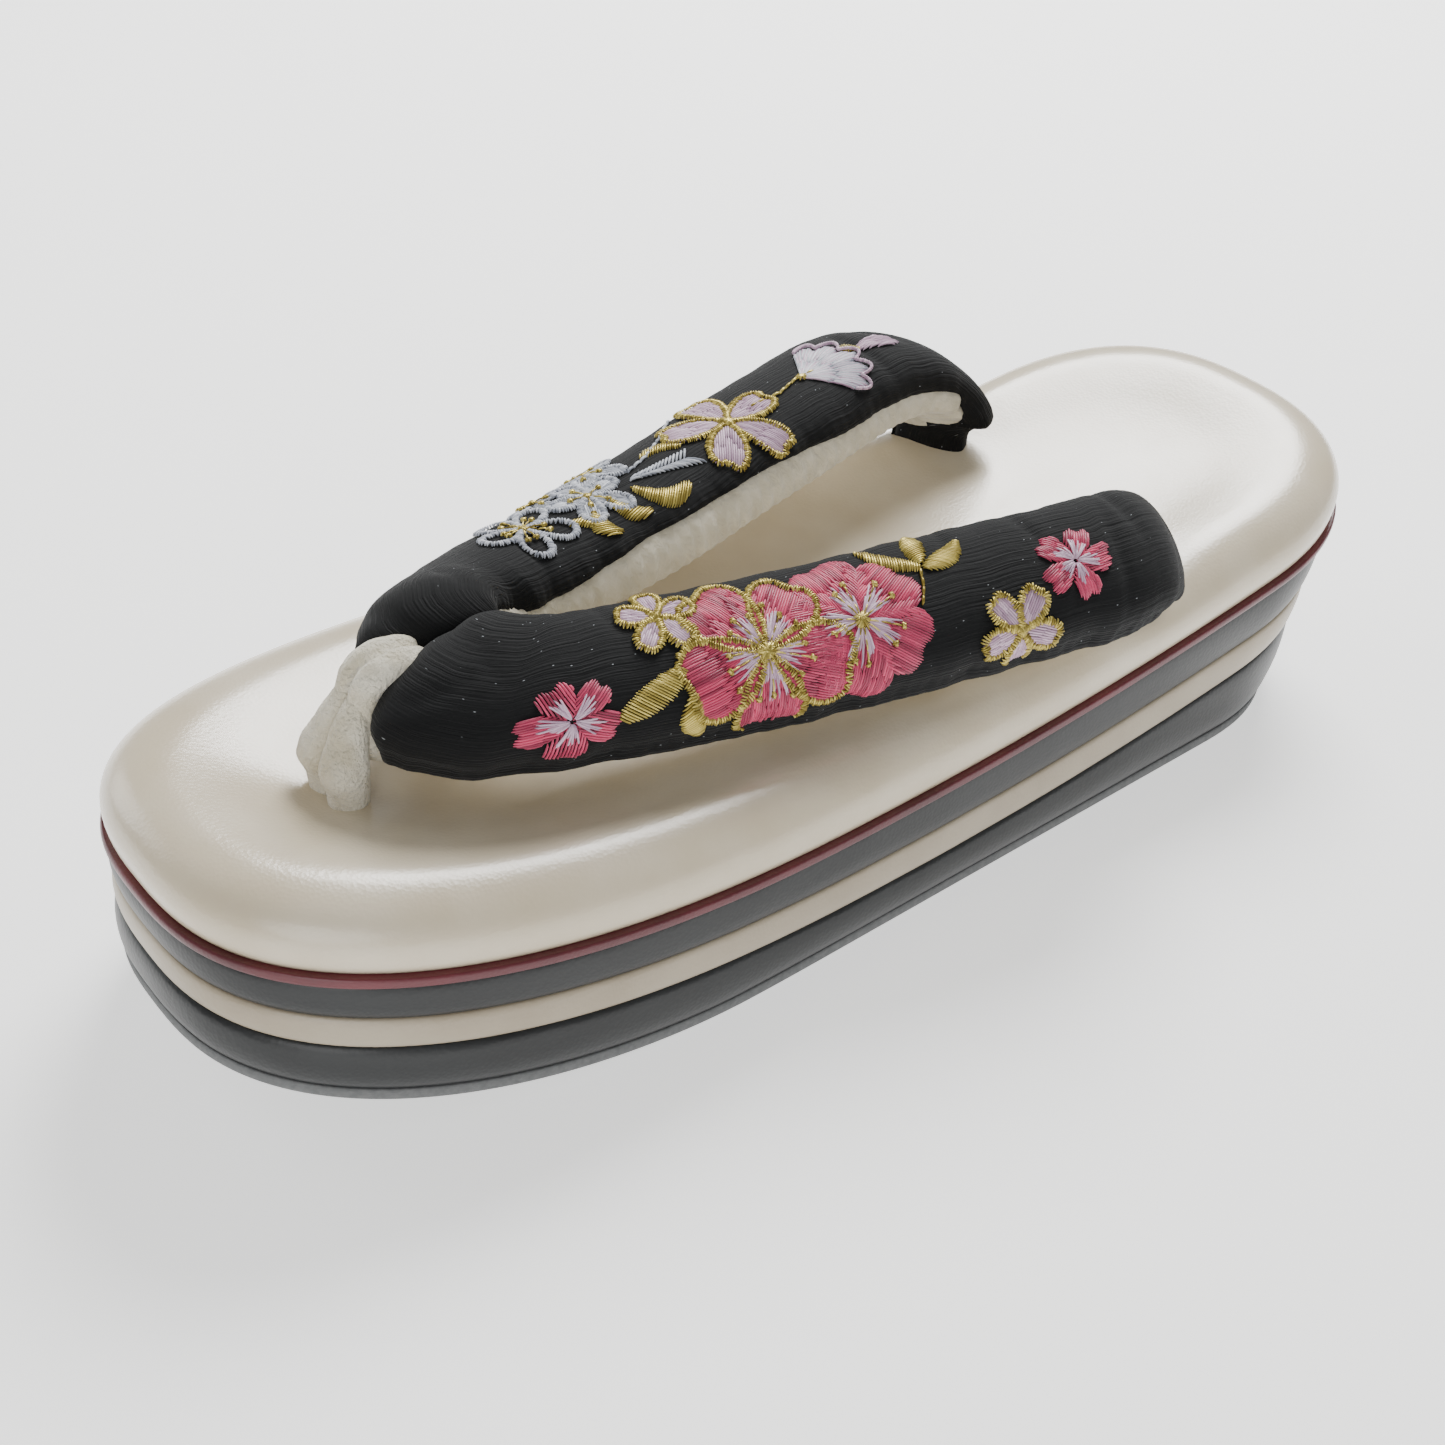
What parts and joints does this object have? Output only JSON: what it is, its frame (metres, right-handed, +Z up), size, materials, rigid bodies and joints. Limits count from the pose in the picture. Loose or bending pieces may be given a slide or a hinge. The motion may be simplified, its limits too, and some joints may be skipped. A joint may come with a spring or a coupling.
{
  "type": "zori sandal",
  "caption": "Left zori sandal: layered sole with a thick heel, padded foot bed and a V-shaped padded cloth strap held by a velvet toe loop.",
  "frame": {"origin": "on the floor under the middle of the sole", "axes": "+Z up, -Y towards the toe, +Y towards the heel, +X towards the wearer's left"},
  "size_m": [0.0914, 0.2411, 0.0631],
  "materials": {
    "outsole_rubber": "matt, fine grain",
    "black_leatherette": "satin",
    "pale_leatherette": "satin",
    "red_edge": "satin",
    "pearl_leatherette": "pearl gloss",
    "black_crepe": "crepe with embroidery",
    "flannel": "napped",
    "velvet": "short pile"
  },
  "bodies": {
    "root": {"outsole": "outsole_rubber", "bottom_layer": "black_leatherette", "middle_layer": "pale_leatherette", "upper_layer": "black_leatherette", "red_welt": "red_edge", "top_pad": "pearl_leatherette", "strap_cover": "black_crepe", "strap_lining": "flannel", "toe_loop": "velvet"}
  },
  "joints": []
}
